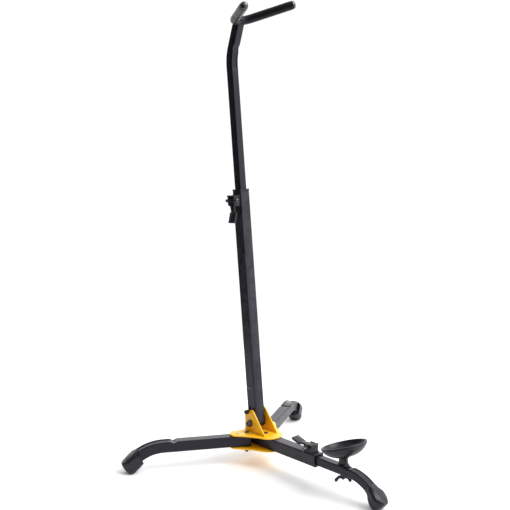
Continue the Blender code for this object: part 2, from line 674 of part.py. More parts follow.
def build_mast(stand):
    fold = empty("mast_fold_axis", MAST_PIVOT, (0, -MAST_LEAN, 0), stand)
    outer_stations = [(Vector((0, 0, z)), Vector((1, 0, 0)), Vector((0, 1, 0)))
                      for z in (-OUTER_TUBE / 2, MAST_END)]
    outer = square_tube(outer_stations, OUTER_TUBE)
    half = OUTER_TUBE / 2
    end = block((0.04, 0.04, 0.02), (0, 0, -0.01))
    round_end = rod(half, (0, -0.03, 0), (0, 0.03, 0), 48)
    outer = cut(outer, cut(end, round_end), rod(PIVOT_BOLT_R + GAP, (0, -0.02, 0), (0, 0.02, 0)))
    low, high = LOCK_PIN.z, LOCK_PIN.z + LOCK_LIFT
    slot_r = LOCK_PIN_R + GAP
    slot = join(rod(slot_r, (LOCK_PIN.x, -0.02, low), (LOCK_PIN.x, 0.02, low)),
                rod(slot_r, (LOCK_PIN.x, -0.02, high), (LOCK_PIN.x, 0.02, high)),
                block((2 * slot_r, 0.04, high - low), (LOCK_PIN.x, 0, (high + low) / 2)))
    screw = rod(0.002 + GAP, (STOP_SCREW.x, -0.02, STOP_SCREW.z), (STOP_SCREW.x, 0.02, STOP_SCREW.z))
    clamp_z = MAST_END - CLAMP_BACK
    window = block((PAD_SIZE + 2 * GAP, 0.01, PAD_SIZE + 2 * GAP), (0, -half, clamp_z))
    piece("mast_outer", cut(outer, slot, screw, window), "tube", fold)
    piece("mast_collar", tube_bush(), "plastic", fold, (0, 0, MAST_END))

    facing = Matrix(((0, 1, 0), (0, 0, -1), (-1, 0, 0))).to_euler()
    clamp_parts("mast", fold, (0, -half, clamp_z), facing, 1)

    build_mast_pivot(stand)
    build_lock(fold)
    slide = empty("mast_slide_axis", (0, 0, 0), (0, 0, 0), fold)
    build_mast_inner(slide)
    return fold


def build_mast_pivot(stand):
    """The bolt that the mast folds on, headed on the left ear, with a cap nut on the right one."""
    face = EAR_INSIDE + PLATE + GAP
    bolt = button_head(0.0072, 0.0045, PIVOT_BOLT_R, 2 * face + 0.0065)
    piece("mast_pivot_bolt", bolt, "black_steel", stand,
          (MAST_PIVOT.x, face, MAST_PIVOT.z), (-math.pi / 2, 0, 0), smooth=True)
    bore = PIVOT_BOLT_R + GAP
    dome = [(bore, 0.0), (0.0077, 0.0), (0.0077, 0.0050), (0.0070, 0.0085), (0.0048, 0.0108),
            (0.0, 0.0118), (0.0, 0.0075), (bore, 0.0075)]
    cap = turned_cap(dome)
    piece("mast_pivot_cap_nut", cap, "black_steel", stand,
          (MAST_PIVOT.x, -face, MAST_PIVOT.z), (math.pi / 2, 0, 0), smooth=True)


def turned_cap(profile):
    """A cup-like solid of revolution whose profile meets the axis twice."""
    sides = 20
    mesh = bmesh.new()
    rings = []
    for radius, height in profile:
        if radius < 1e-6:
            rings.append([mesh.verts.new((0, 0, height))])
        else:
            rings.append([mesh.verts.new((radius * math.cos(math.tau * k / sides),
                                          radius * math.sin(math.tau * k / sides), height))
                          for k in range(sides)])
    for index, lower in enumerate(rings):
        upper = rings[(index + 1) % len(rings)]
        if len(lower) == 1 and len(upper) == 1:
            continue
        for step in range(sides):
            after = (step + 1) % sides
            corners = [lower[step % len(lower)], lower[after % len(lower)],
                       upper[after % len(upper)], upper[step % len(upper)]]
            mesh.faces.new(list(dict.fromkeys(corners)))
    return mesh


def build_lock(fold):
    """The cross pin that rests on the ears, its two knobs, and the spring that holds it down."""
    lift = empty("lock_pin_axis", LOCK_PIN, (0, 0, 0), fold)
    outside = EAR_INSIDE + PLATE + GAP
    knob = 0.0090
    head = [(0, outside + knob), (0.0042, outside + knob), (0.005, outside + knob - 0.0008),
            (0.005, outside), (LOCK_PIN_R, outside), (LOCK_PIN_R, -outside - knob), (0, -outside - knob)]
    pin = turned(head, 18)
    piece("lock_pin", pin, "black_steel", lift, (0, 0, 0), (-math.pi / 2, 0, 0), smooth=True)
    cap = ring(0.005, LOCK_PIN_R + GAP, outside, outside + knob - 0.0004)
    piece("lock_pin_knob", cap, "black_steel", lift, (0, 0, 0), (math.pi / 2, 0, 0), smooth=True)

    start = LOCK_PIN.z + LOCK_PIN_R + GAP
    finish = STOP_SCREW.z - 0.002 - GAP
    piece("lock_spring", coil(0.0040, 0.0006, finish - start, 9), "bright_steel", fold,
          (LOCK_PIN.x, 0, start), smooth=True)
    length = OUTER_TUBE + 2 * GAP + 0.0035
    screw = button_head(0.0034, 0.0016, 0.002, length)
    piece("lock_spring_screw", screw, "black_steel", fold,
          (STOP_SCREW.x, -OUTER_TUBE / 2 - GAP, STOP_SCREW.z), (math.pi / 2, 0, 0), smooth=True)
    nut = hexagon(0.006, 0, 0.003, 0.002 + GAP)
    piece("lock_spring_nut", nut, "black_steel", fold,
          (STOP_SCREW.x, OUTER_TUBE / 2 + GAP, STOP_SCREW.z), (-math.pi / 2, 0, 0))


def coil(radius, wire, length, turns):
    """A round-wire compression spring standing on Z, its wire clear of both end planes."""
    steps = turns * 12
    rings = []
    rise = length - 2 * wire
    for step in range(steps + 1):
        angle = math.tau * turns * step / steps
        out = Vector((math.cos(angle), math.sin(angle), 0))
        centre = out * radius + Vector((0, 0, wire + rise * step / steps))
        rings.append([centre + out * wire * math.cos(a) + Vector((0, 0, wire * math.sin(a)))
                      for a in (math.tau * k / 5 for k in range(5))])
    return lofted(rings)


def inner_stations():
    """The sliding tube: straight up, a bend forward, and a short straight end."""
    across = Vector((0, 1, 0))
    stations = [(Vector((0, 0, INNER_START)), Vector((-1, 0, 0)), across)]
    steps = 8
    for step in range(steps + 1):
        angle = INNER_BEND_ANGLE * step / steps
        back = Vector((-math.cos(angle), 0, math.sin(angle)))
        centre = Vector((INNER_BEND_RADIUS, 0, INNER_BEND)) + back * INNER_BEND_RADIUS
        stations.append((centre, back, across))
    forward = Vector((math.sin(INNER_BEND_ANGLE), 0, math.cos(INNER_BEND_ANGLE)))
    stations.append((stations[-1][0] + forward * INNER_LAST, stations[-1][1], across))
    return stations


def build_mast_inner(slide):
    stations = inner_stations()
    forward = Vector((math.sin(INNER_BEND_ANGLE), 0, math.cos(INNER_BEND_ANGLE)))
    saddle = stations[-1][0] + forward * YOKE_SEAT
    seat = Matrix.Rotation(-YOKE_RISE, 4, "Y") @ Matrix.Rotation(YOKE_ROLL, 4, "X")
    clear = moved(round_bar(YOKE_SLEEVE_R + 0.0004, 16), saddle, seat)
    piece("mast_inner", cut(square_tube(stations, INNER_TUBE), clear), "tube", slide)
    piece("mast_glide", tube_glide(), "plastic", slide, (0, 0, INNER_START))

    yoke = empty("yoke_frame", saddle, (YOKE_ROLL, -YOKE_RISE, 0), slide)
    stem = rod(0.0055, (0, 0, 0), (0, 0, -0.030), 16)
    turn = (Matrix.Rotation(-YOKE_ROLL, 4, "X")
            @ Matrix.Rotation(YOKE_RISE + INNER_BEND_ANGLE, 4, "Y"))
    stem = moved(stem, (0, 0, 0), turn)
    core = join(round_bar(YOKE_ROD_R, 10), stem)
    piece("yoke_rod", core, "black_steel", yoke, smooth=True)

    sleeve = yoke_sleeve()
    hole = moved(rod(0.0055 + GAP, (0, 0, 0), (0, 0, -0.020), 16), (0, 0, 0), turn)
    piece("yoke_sleeve", cut(sleeve, hole), "foam", yoke, smooth=True)
    tip, direction = yoke_tip()
    for side, word in ((1, "left"), (-1, "right")):
        place = Vector((tip.x, side * tip.y, 0))
        aim = Vector((direction.x, side * direction.y, 0)).to_track_quat("Z", "Y").to_euler()
        cap = turned([(0, GAP), (0.0080, GAP), (0.0086, 0.0008), (0.0082, 0.0022), (0.0062, 0.0040),
                      (0.0030, 0.0050), (0, 0.0052)], 18)
        piece("yoke_cap_" + word, cap, "plastic", yoke, place, aim, smooth=True)


def yoke_path():
    """Half of the yoke's centre line in its own plane, from the saddle out to the left tip."""
    turn = math.pi / 2 - YOKE_SPREAD
    points = []
    for step in range(8):
        angle = turn * step / 7
        points.append(Vector((YOKE_ARC_R * (1 - math.cos(angle)), YOKE_ARC_R * math.sin(angle), 0)))
    direction = Vector((math.sin(turn), math.cos(turn), 0))
    start = points[-1]
    points.append(start + direction * YOKE_PRONG)
    return points, direction


def yoke_tip():
    points, direction = yoke_path()
    return points[-1], direction


def yoke_centres():
    points, _ = yoke_path()
    right = [Vector((p.x, -p.y, 0)) for p in reversed(points[1:])]
    return right + points


def bar_rings(centres, radius, sides):
    rings = []
    for index, centre in enumerate(centres):
        before = centres[max(index - 1, 0)]
        after = centres[min(index + 1, len(centres) - 1)]
        along = (after - before).normalized()
        out = along.cross(Vector((0, 0, 1)))
        rings.append([centre + out * radius * math.cos(a) + Vector((0, 0, radius * math.sin(a)))
                      for a in (math.tau * k / sides for k in range(sides))])
    return rings


def round_bar(radius, sides):
    """A solid bar along the yoke."""
    return lofted(bar_rings(yoke_centres(), radius, sides))


def yoke_sleeve():
    """The hollow foam sleeve over the whole yoke, open at both tips."""
    centres = yoke_centres()
    outer = bar_rings(centres, YOKE_SLEEVE_R, 16)
    inner = bar_rings(centres, YOKE_ROD_R + GAP, 16)
    return lofted(outer + list(reversed(inner)), closed_loop=True)


# cup

def build_cup(slide):
    """The tilted dish on its foot, the stud through the leg, the washer and the wing nut."""
    turn = empty("cup_axis", (CUP_AXIS_X, 0, 0), (0, 0, 0), slide)
    foot_z = INNER_TUBE / 2 + GAP
    floor = LEG_AXIS_HEIGHT
    rim = CUP_RIM_CENTRE - Vector((CUP_AXIS_X, 0, floor))
    wall = CUP_WALL
    outer = [(0.0, -CUP_DEPTH), (0.014, -CUP_DEPTH + 0.0006), (0.026, -CUP_DEPTH + 0.0034),
             (0.036, -CUP_DEPTH + 0.0080), (0.044, -CUP_DEPTH + 0.0142), (0.0492, -CUP_DEPTH + 0.0212),
             (CUP_R, -0.002), (CUP_R - 0.0012, 0.0)]
    inner = [(CUP_R - 0.0034, -0.0008), (0.0445, -0.0085), (0.0395, -0.0138), (0.0315, -0.0195),
             (0.0220, -0.0235), (0.0120, -CUP_DEPTH + wall + 0.0005), (0.0, -CUP_DEPTH + wall)]
    dish = turned(outer + inner, 32)
    dish = moved(dish, rim, Matrix.Rotation(-CUP_TILT, 4, "Y"))
    tall = rim.z - CUP_DEPTH + 0.0010
    stem = turned([(0, foot_z), (0.0135, foot_z), (0.0130, foot_z + 0.002), (0.0105, foot_z + 0.004),
                   (0.0102, tall - 0.008), (0.0115, tall - 0.003), (0.0150, tall + 0.0015),
                   (0, tall + 0.0015)], 24)
    cup = cut(join(dish, stem), rod(0.003 + GAP, (0, 0, 0), (0, 0, tall - 0.005), 16))
    piece("cup", cup, "plastic", turn, smooth=True)
    stud = rod(0.003, (0, 0, -0.0225), (0, 0, tall - 0.0065), 16)
    piece("cup_stud", stud, "black_steel", turn, smooth=True)
    under = -INNER_TUBE / 2 - GAP
    piece("cup_washer", ring(0.0075, 0.003 + GAP, under - 0.0012, under), "black_steel",
          slide, (CUP_AXIS_X, 0, 0), smooth=True)
    wing_nut(slide, under - 0.0012 - GAP)


def wing_nut(slide, top):
    turn = empty("wing_nut_axis", (CUP_AXIS_X, 0, top), (0, 0, math.radians(45)), slide)
    hub = turned([(0, 0), (0.0065, 0), (0.0052, -0.008), (0, -0.008)], 20)
    wing = [(0.003, -0.0010), (0.0105, -0.0030), (0.0175, -0.0095), (0.0190, -0.0132),
            (0.0160, -0.0165), (0.0125, -0.0148), (0.0095, -0.0092), (0.003, -0.0075)]
    body = hub
    for side in (1, -1):
        outline = [(side * x, z) for x, z in wing]
        plate = moved(slab(outline, -0.0021, 0.0021), (0, 0, 0), Matrix.Rotation(math.pi / 2, 4, "X"))
        body = join(body, plate)
    body = cut(body, rod(0.003 + GAP, (0, 0, -0.02), (0, 0, 0.01), 16))
    piece("cup_wing_nut", body, "plastic", turn, smooth=True)


# assembly

def main():
    clear_scene()
    stand = empty("stand", (FRAME_SHIFT, 0, 0))
    build_hub(stand)
    for side, word in ((1, "left"), (-1, "right")):
        build_side_leg(stand, side, word)
    axis, slide = build_front_leg(stand)
    clamp_x = FRONT_TUBE_END - CLAMP_BACK
    clamp_parts("front", axis, (clamp_x, 0, OUTER_TUBE / 2), (0, 0, math.pi), -1)
    build_cup(slide)
    build_mast(stand)


main()
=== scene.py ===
import json
import math

import bmesh
import bpy
from mathutils import Matrix, Vector, noise


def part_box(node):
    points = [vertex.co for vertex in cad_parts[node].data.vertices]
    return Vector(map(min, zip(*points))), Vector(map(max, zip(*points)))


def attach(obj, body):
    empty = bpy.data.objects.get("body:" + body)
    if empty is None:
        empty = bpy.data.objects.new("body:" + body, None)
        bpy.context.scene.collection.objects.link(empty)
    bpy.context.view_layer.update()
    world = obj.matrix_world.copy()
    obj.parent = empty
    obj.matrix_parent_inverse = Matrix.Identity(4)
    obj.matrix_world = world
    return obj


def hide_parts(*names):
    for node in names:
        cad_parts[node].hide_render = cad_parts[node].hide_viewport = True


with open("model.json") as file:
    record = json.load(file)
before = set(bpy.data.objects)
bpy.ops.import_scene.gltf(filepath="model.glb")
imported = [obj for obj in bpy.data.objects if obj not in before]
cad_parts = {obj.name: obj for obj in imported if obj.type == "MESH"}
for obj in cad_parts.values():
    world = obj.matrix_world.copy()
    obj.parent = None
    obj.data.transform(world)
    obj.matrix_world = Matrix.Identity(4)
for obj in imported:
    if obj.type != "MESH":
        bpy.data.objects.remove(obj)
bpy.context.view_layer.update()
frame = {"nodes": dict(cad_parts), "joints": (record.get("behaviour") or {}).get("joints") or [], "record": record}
record = frame["record"]
bodyOf = {node: body for body, members in record["behaviour"]["bodies"].items() for node in members}
slotOf = {part["node"]: part["material_slot"] for part in record["subparts"]}
joints = {joint["name"]: joint for joint in frame["joints"]}
gap = 0.0003  # air between neighbouring pieces
print("stand frame ready,", len(bodyOf), "nodes")


# shader building blocks
def shaderNode(tree, kind, **values):
    made = tree.nodes.new(kind)
    for key, value in values.items():
        socket = key.replace("_", " ").title()
        made.inputs[socket].default_value = value
    return made


def startMaterial(name, colour, metallic, roughness, **sockets):
    made = bpy.data.materials.new(name)
    made.use_nodes = True
    tree = made.node_tree
    shader = tree.nodes["Principled BSDF"]
    shader.inputs["Base Color"].default_value = (*colour, 1)
    shader.inputs["Metallic"].default_value = metallic
    shader.inputs["Roughness"].default_value = roughness
    for key, value in sockets.items():
        shader.inputs[key.replace("_", " ")].default_value = value
    place = tree.nodes.new("ShaderNodeTexCoord")
    return made, tree, shader, place.outputs["Object"]


def grain(tree, place, scale, detail=3.0):
    made = shaderNode(tree, "ShaderNodeTexNoise", scale=scale, detail=detail, roughness=0.6)
    tree.links.new(place, made.inputs["Vector"])
    return made.outputs["Fac"]


def spread(tree, source, low, high, outLow=0.0, outHigh=1.0):
    made = tree.nodes.new("ShaderNodeMapRange")
    for index, value in enumerate((low, high, outLow, outHigh)):
        made.inputs[index + 1].default_value = value
    tree.links.new(source, made.inputs[0])
    return made.outputs[0]


def combine(tree, first, second, operation="MULTIPLY"):
    made = tree.nodes.new("ShaderNodeMath")
    made.operation = operation
    tree.links.new(first, made.inputs[0])
    if isinstance(second, float):
        made.inputs[1].default_value = second
    else:
        tree.links.new(second, made.inputs[1])
    made.use_clamp = True
    return made.outputs[0]


def blendColours(tree, amount, first, second):
    made = tree.nodes.new("ShaderNodeMix")
    made.data_type = "RGBA"
    tree.links.new(amount, made.inputs[0])
    for socket, value in ((made.inputs[6], first), (made.inputs[7], second)):
        if isinstance(value, tuple):
            socket.default_value = (*value, 1)
        else:
            tree.links.new(value, socket)
    return made.outputs[2]


def relief(tree, shader, height, distance, strength, before=None):
    made = tree.nodes.new("ShaderNodeBump")
    made.inputs["Strength"].default_value = strength
    made.inputs["Distance"].default_value = distance
    tree.links.new(height, made.inputs["Height"])
    if before is not None:
        tree.links.new(before, made.inputs["Normal"])
    tree.links.new(made.outputs["Normal"], shader.inputs["Normal"])
    return made.outputs["Normal"]


def edges(tree, low, high):
    shape = tree.nodes.new("ShaderNodeNewGeometry")
    return spread(tree, shape.outputs["Pointiness"], low, high)


def upward(tree):
    shape = tree.nodes.new("ShaderNodeNewGeometry")
    split = tree.nodes.new("ShaderNodeSeparateXYZ")
    tree.links.new(shape.outputs["Normal"], split.inputs[0])
    return spread(tree, split.outputs[2], 0.2, 1.0)


# finishes: base, a second tone for mottling, a worn tone on edges, grain sizes per metre, and how strongly painted
# top light lightens upward faces
finishes = {
    "blackPaint": {"base": (0.0060, 0.0055, 0.0090), "mottle": (0.0085, 0.0078, 0.0125),
                   "worn": (0.040, 0.038, 0.050), "metallic": 0.0, "roughness": (0.27, 0.36),
                   "grain": 1500, "patch": 55, "depth": 0.00008, "strength": 0.22, "dust": 0.015,
                   "sockets": {"Specular_IOR_Level": 0.30, "Specular_Tint": (0.92, 0.88, 1.0, 1.0)}},
    "hubPaint": {"base": (0.91, 0.455, 0.004), "mottle": (0.95, 0.50, 0.006),
                 "worn": (0.96, 0.62, 0.05), "metallic": 0.0, "roughness": (0.28, 0.38),
                 "grain": 1100, "patch": 70, "depth": 0.00005, "strength": 0.12, "dust": 0.01,
                 "sockets": {"Specular_IOR_Level": 0.32, "Coat_Weight": 0.10, "Coat_Roughness": 0.25}},
    "blackPlastic": {"base": (0.0055, 0.0055, 0.0075), "mottle": (0.0085, 0.0085, 0.0110),
                     "worn": (0.045, 0.045, 0.050), "metallic": 0.0, "roughness": (0.30, 0.42),
                     "grain": 2200, "patch": 90, "depth": 0.00005, "strength": 0.22, "dust": 0.012,
                     "sockets": {"Specular_IOR_Level": 0.34, "Specular_Tint": (0.93, 0.90, 1.0, 1.0)}},
    "glossPlastic": {"base": (0.008, 0.008, 0.010), "mottle": (0.014, 0.014, 0.017),
                     "worn": (0.05, 0.05, 0.055), "metallic": 0.0, "roughness": (0.10, 0.20),
                     "grain": 500, "patch": 120, "depth": 0.00003, "strength": 0.15, "dust": 0.02,
                     "sockets": {"Specular_IOR_Level": 0.6, "Coat_Weight": 0.6, "Coat_Roughness": 0.08}},
    "rubber": {"base": (0.0080, 0.0078, 0.0105), "mottle": (0.0115, 0.0112, 0.0150),
               "worn": (0.035, 0.034, 0.040), "metallic": 0.0, "roughness": (0.28, 0.38),
               "grain": 1700, "patch": 75, "depth": 0.00009, "strength": 0.25, "dust": 0.02,
               "sockets": {"Specular_IOR_Level": 0.36, "Specular_Tint": (0.93, 0.90, 1.0, 1.0)}},
    "blackSteel": {"base": (0.050, 0.050, 0.056), "mottle": (0.085, 0.083, 0.086),
                   "worn": (0.30, 0.30, 0.31), "metallic": 1.0, "roughness": (0.26, 0.42),
                   "grain": 2600, "patch": 160, "depth": 0.00004, "strength": 0.25, "dust": 0.0,
                   "sockets": {}},
    "brightSteel": {"base": (0.66, 0.66, 0.68), "mottle": (0.52, 0.52, 0.55),
                    "worn": (0.86, 0.86, 0.87), "metallic": 1.0, "roughness": (0.16, 0.30),
                    "grain": 3000, "patch": 200, "depth": 0.00003, "strength": 0.20, "dust": 0.0,
                    "sockets": {}},
}


def coatedFinish(name, look):
    made, tree, shader, place = startMaterial(name, look["base"], look["metallic"],
                                              look["roughness"][0], **look["sockets"])
    patch = grain(tree, place, look["patch"], 5.0)
    fine = grain(tree, place, look["grain"], 2.0)
    tone = blendColours(tree, spread(tree, patch, 0.35, 0.68), look["base"], look["mottle"])
    rim = combine(tree, edges(tree, 0.53, 0.60), spread(tree, patch, 0.38, 0.60, 0.2, 0.9))
    tone = blendColours(tree, combine(tree, rim, 0.55), tone, look["worn"])
    # painted light: faces turned upwards are blended towards a pale grey, as if lit from above
    dust = combine(tree, upward(tree), spread(tree, patch, 0.40, 0.75))
    tone = blendColours(tree, combine(tree, dust, float(look["dust"])), tone, (0.30, 0.29, 0.28))
    tree.links.new(tone, shader.inputs["Base Color"])
    low, high = look["roughness"]
    tree.links.new(spread(tree, patch, 0.35, 0.65, low, high), shader.inputs["Roughness"])
    relief(tree, shader, fine, look["depth"], look["strength"])
    return made


def foamFinish(name):
    # closed-cell skin: small round cells over a slow unevenness
    made, tree, shader, place = startMaterial(name, (0.006, 0.006, 0.009), 0.0, 0.6,
                                              Specular_IOR_Level=0.16, Sheen_Weight=0.01,
                                              Sheen_Roughness=0.5)
    cells = shaderNode(tree, "ShaderNodeTexVoronoi", scale=1300.0)
    tree.links.new(place, cells.inputs["Vector"])
    patch = grain(tree, place, 110, 4.0)
    tone = blendColours(tree, spread(tree, patch, 0.35, 0.7), (0.0060, 0.0055, 0.0095),
                        (0.0090, 0.0083, 0.0130))
    pore = spread(tree, cells.outputs["Distance"], 0.1, 0.6)
    tree.links.new(blendColours(tree, pore, tone, (0.0130, 0.0128, 0.0160)),
                   shader.inputs["Base Color"])
    tree.links.new(spread(tree, patch, 0.3, 0.7, 0.34, 0.48), shader.inputs["Roughness"])
    first = relief(tree, shader, patch, 0.0003, 0.12)
    relief(tree, shader, cells.outputs["Distance"], 0.00005, 0.15, first)
    return made


paints = {name: coatedFinish(name, look) for name, look in finishes.items()}
paints["foam"] = foamFinish("foam")
paintOfSlot = {"black_paint": "blackPaint", "hub_paint": "hubPaint", "black_plastic": "blackPlastic",
               "gloss_plastic": "glossPlastic", "rubber": "rubber", "foam": "foam",
               "black_steel": "blackSteel", "bright_steel": "brightSteel"}
for node, cad in frame["nodes"].items():
    cad.data.materials.clear()
    cad.data.materials.append(paints[paintOfSlot[slotOf[node]]])
print("finishes mixed:", ", ".join(sorted(paints)))


# mesh building blocks
def addPiece(name, mesh, node, smooth=38):
    bmesh.ops.recalc_face_normals(mesh, faces=mesh.faces)
    data = bpy.data.meshes.new(name)
    mesh.to_mesh(data)
    mesh.free()
    data.materials.append(paints[paintOfSlot[slotOf[node]]])
    data.shade_smooth()
    data.set_sharp_from_angle(angle=math.radians(smooth))
    made = bpy.data.objects.new(name, data)
    bpy.context.scene.collection.objects.link(made)
    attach(made, bodyOf[node])
    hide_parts(node)
    return made


def pieceName(node):
    first, *others = node.split("_")
    return first + "".join(word.title() for word in others)


def carve(body, tool, operation="DIFFERENCE"):
    shapes = []
    for source in (body, tool):
        bmesh.ops.recalc_face_normals(source, faces=source.faces)
        data = bpy.data.meshes.new("shape")
        source.to_mesh(data)
        source.free()
        shape = bpy.data.objects.new("shape", data)
        bpy.context.scene.collection.objects.link(shape)
        shapes.append(shape)
    modifier = shapes[0].modifiers.new("carve", "BOOLEAN")
    modifier.operation = operation
    modifier.solver = "EXACT"
    modifier.object = shapes[1]
    bpy.context.view_layer.update()
    evaluated = shapes[0].evaluated_get(bpy.context.evaluated_depsgraph_get())
    result = bmesh.new()
    result.from_mesh(evaluated.to_mesh())
    evaluated.to_mesh_clear()
    for shape in shapes:
        bpy.data.objects.remove(shape, do_unlink=True)
    return result


def soften(mesh, width, segments=2, angle=38):
    bmesh.ops.remove_doubles(mesh, verts=mesh.verts, dist=2e-6)
    bmesh.ops.dissolve_limit(mesh, angle_limit=math.radians(1.0), verts=mesh.verts, edges=mesh.edges)
    limit = math.radians(angle)
    sharp = [edge for edge in mesh.edges
             if len(edge.link_faces) == 2 and edge.calc_face_angle() > limit]
    bmesh.ops.bevel(mesh, geom=sharp, offset=width, offset_type="OFFSET", segments=segments,
                    profile=0.55, affect="EDGES", clamp_overlap=True)
    return mesh


def fromNode(node):
    mesh = bmesh.new()
    mesh.from_mesh(frame["nodes"][node].data)
    return mesh


def shift(mesh, matrix):
    bmesh.ops.transform(mesh, matrix=matrix, verts=mesh.verts)
    return mesh


def skin(rings, loop=False):
    mesh = bmesh.new()
    layers = [[mesh.verts.new(point) for point in ring] for ring in rings]
    count = len(layers[0])
    for index in range(len(layers) if loop else len(layers) - 1):
        lower, upper = layers[index], layers[(index + 1) % len(layers)]
        for step in range(count):
            after = (step + 1) % count
            mesh.faces.new((lower[step], lower[after], upper[after], upper[step]))
    if not loop:
        for ring in (layers[0], layers[-1]):
            centre = mesh.verts.new(sum((v.co for v in ring), Vector()) / count)
            for step in range(count):
                mesh.faces.new((ring[step], ring[(step + 1) % count], centre))
    return mesh


def lathe(profile, sides=40, loop=False):
    # turned about Z from (radius, height) pairs
    rings = [[Vector((radius * math.cos(math.tau * k / sides), radius * math.sin(math.tau * k / sides),
                      height)) for k in range(sides)] for radius, height in profile]
    return skin(rings, loop)


def prism(corners, low, high):
    return skin([[Vector((x, y, z)) for x, y in corners] for z in (low, high)])


def hexagon(acrossFlats):
    reach = acrossFlats / math.sqrt(3)
    return [(reach * math.cos(k * math.pi / 3), reach * math.sin(k * math.pi / 3)) for k in range(6)]


def pill(size, centre):
    mesh = bmesh.new()
    bmesh.ops.create_cube(mesh, size=1.0)
    return shift(mesh, Matrix.Translation(centre) @ Matrix.Diagonal((*size, 1)))


def roundProfile(points, steps=4, share=0.35):
    # rounds the inner corners of a profile
    made = [points[0]]
    for index in range(1, len(points) - 1):
        before, here, after = (Vector(points[index + k]) for k in (-1, 0, 1))
        start, end = here.lerp(before, share), here.lerp(after, share)
        for step in range(steps + 1):
            t = step / steps
            made.append(tuple(start.lerp(here, t).lerp(here.lerp(end, t), t)))
    made.append(points[-1])
    return made


# where the stand's parts turn
legPivot = {"left": Vector(joints["left_leg_fold"]["pos_m"]),
            "right": Vector(joints["right_leg_fold"]["pos_m"])}
sideTurn = {"left": math.radians(120), "right": math.radians(-120)}
legHeight = legPivot["left"].z
mastPivot = Vector(joints["mast_fold"]["pos_m"])
mastUp = Vector(joints["mast_height"]["axis"]).normalized()
mastLean = math.atan2(-mastUp.x, mastUp.z)
mastFrame = Matrix.Translation(mastPivot) @ Matrix.Rotation(-mastLean, 4, "Y")
legFrame = {word: Matrix.Translation(legPivot[word]) @ Matrix.Rotation(sideTurn[word], 4, "Z")
            for word in legPivot}
legReach = legPivot["left"].y / math.sin(sideTurn["left"])  # from the hub's axis to a side leg's bolt
hubX = legPivot["left"].x - legReach * math.cos(sideTurn["left"])
frontFrame = Matrix.Translation((hubX, 0, legHeight))

tubes = {
    "outer": 0.028, "inner": 0.020, "side": 0.0254,
    "wall": 0.0015, "corner": 0.0025, "cornerSteps": 5, "faceSteps": 10,
    "bendRadius": 0.100, "legBend": math.radians(34), "bendSteps": 30, "tail": 0.020,
    "mastBend": math.radians(24), "mastBendStart": 0.828, "mastInnerStart": 0.365, "mastLast": 0.0574,
    "mastEnd": 0.545,
    "frontStart": -0.034, "frontEnd": 0.1848, "frontInnerStart": 0.084, "frontBend": 0.283,
    "sideStart": -0.0095, "sideBend": 0.1975, "chamfer": 0.005,
    "pressDepth": 0.0026, "pitDepth": 0.0046, "pitLength": 0.0085, "buttonHole": 0.0046,
}


def section(size, corner):
    half = size / 2 - corner
    steps, face = tubes["cornerSteps"], tubes["faceSteps"]
    signs = ((1, 1), (-1, 1), (-1, -1), (1, -1))
    points = []
    for quarter, (sx, sy) in enumerate(signs):
        for step in range(steps + 1):
            angle = (quarter + step / steps) * math.pi / 2
            points.append((sx * half + corner * math.cos(angle), sy * half + corner * math.sin(angle)))
        nx, ny = signs[(quarter + 1) % 4]
        angle = (quarter + 1) * math.pi / 2
        reach = corner * math.cos(angle), corner * math.sin(angle)
        for step in range(1, face):
            t = step / face
            points.append((half * (sx + (nx - sx) * t) + reach[0], half * (sy + (ny - sy) * t) + reach[1]))
    return points


def squareTube(stations, size, press=None):
    wall, corner = tubes["wall"], tubes["corner"]
    rings = []
    for outline, order in ((section(size, corner), stations),
                           (section(size - 2 * wall, corner - wall / 2), stations[::-1])):
        for centre, across, up, along in order:
            ring = []
            for a, b in outline:
                lower = press(along, a / size * 2, b / size * 2) if press else 0.0
                ring.append(centre + across * a + up * (b - lower))
            rings.append(ring)
    return skin(rings, loop=True)


def straight(start, end, count, toPoint, across, up):
    return [(toPoint(start + (end - start) * k / count), across, up, start + (end - start) * k / count)
            for k in range(count)]


def legStations(start, bend):
    # level tube, a bend downwards, a short straight end inside the foot
    across = Vector((0, 1, 0))
    made = straight(start, bend - 0.048, 4, lambda s: Vector((s, 0, 0)), across, Vector((0, 0, 1)))
    made += straight(bend - 0.048, bend, 44, lambda s: Vector((s, 0, 0)), across, Vector((0, 0, 1)))
    radius = tubes["bendRadius"]
    for step in range(tubes["bendSteps"] + 1):
        angle = tubes["legBend"] * step / tubes["bendSteps"]
        up = Vector((math.sin(angle), 0, math.cos(angle)))
        made.append((Vector((bend, 0, -radius)) + up * radius, across, up, bend + radius * angle))
    centre, _, up, along = made[-1]
    forward = Vector((math.cos(tubes["legBend"]), 0, -math.sin(tubes["legBend"])))
    made.append((centre + forward * tubes["tail"], across, up, along + tubes["tail"]))
    return made


def pressMark(pitAt, grooveEnd, face, scale):
    # the forming tool's mark: a short deep pit, then a shallow channel round the bend
    direction = 1 if grooveEnd > pitAt else -1

    def depth(along, a, b):
        fade = min(1.0, max(0.0, (b * face - 0.1) / 0.6))
        if fade == 0.0:
            return 0.0
        fromPit = (along - pitAt) * direction
        reach = abs(grooveEnd - pitAt)
        pit = math.exp(-(fromPit / tubes["pitLength"]) ** 2 * 2.2) * (1 - 0.35 * a * a)
        channel = 0.0
        if fromPit > 0:
            ramp = min(1.0, fromPit / 0.010) * min(1.0, max(0.0, (reach - fromPit) / 0.008))
            side = min(1.0, max(0.0, (0.80 - abs(a)) / 0.22))
            channel = ramp * side * side * (3 - 2 * side)
        return face * scale * fade * max(tubes["pitDepth"] * pit, tubes["pressDepth"] * channel)
    return depth


